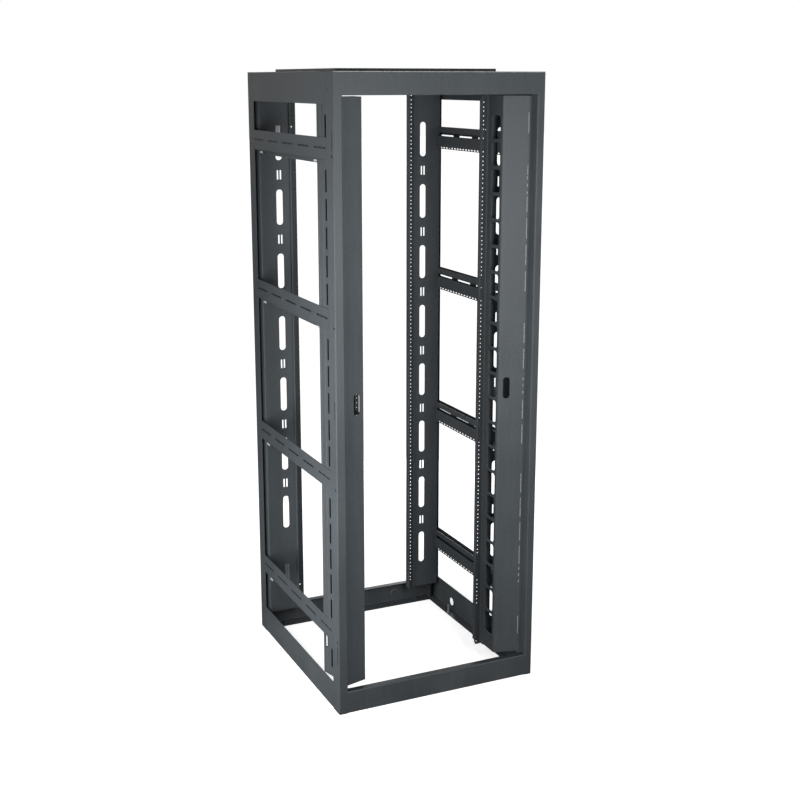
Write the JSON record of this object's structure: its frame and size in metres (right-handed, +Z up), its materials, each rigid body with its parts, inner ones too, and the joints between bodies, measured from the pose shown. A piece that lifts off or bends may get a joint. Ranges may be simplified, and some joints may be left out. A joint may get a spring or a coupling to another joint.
{
  "type": "four post open frame rack",
  "caption": "Tall welded open frame rack of bent sheet steel, with front and rear rack rails, cable panels beside the front opening and slotted side crossbars.",
  "frame": {"origin": "middle of the footprint, on the floor", "axes": "+X to the right seen from the front, +Y from the front to the back, +Z up"},
  "size_m": [0.744, 0.81, 2.121],
  "materials": {
    "powder_coat": "fine textured powder coat"
  },
  "bodies": {
    "root": {"front_left_post": "powder_coat", "rear_left_post": "powder_coat", "front_left_cable_panel": "powder_coat", "front_left_web": "powder_coat", "rear_left_web": "powder_coat", "front_left_rack_rail": "powder_coat", "rear_left_rack_rail": "powder_coat", "base_left_rail": "powder_coat", "top_left_rail": "powder_coat", "base_front_left_gusset": "powder_coat", "left_crossbar_1": "powder_coat", "left_crossbar_2": "powder_coat", "left_crossbar_3": "powder_coat", "left_crossbar_4": "powder_coat", "front_right_post": "powder_coat", "rear_right_post": "powder_coat", "front_right_cable_panel": "powder_coat", "front_right_web": "powder_coat", "rear_right_web": "powder_coat", "front_right_rack_rail": "powder_coat", "rear_right_rack_rail": "powder_coat", "base_right_rail": "powder_coat", "top_right_rail": "powder_coat", "base_front_right_gusset": "powder_coat", "right_crossbar_1": "powder_coat", "right_crossbar_2": "powder_coat", "right_crossbar_3": "powder_coat", "right_crossbar_4": "powder_coat", "base_front_rail": "powder_coat", "base_rear_rail": "powder_coat", "top_front_rail": "powder_coat", "top_rear_rail": "powder_coat", "top_front_brace": "powder_coat", "top_rear_brace": "powder_coat", "top_plate": "powder_coat"}
  },
  "joints": []
}
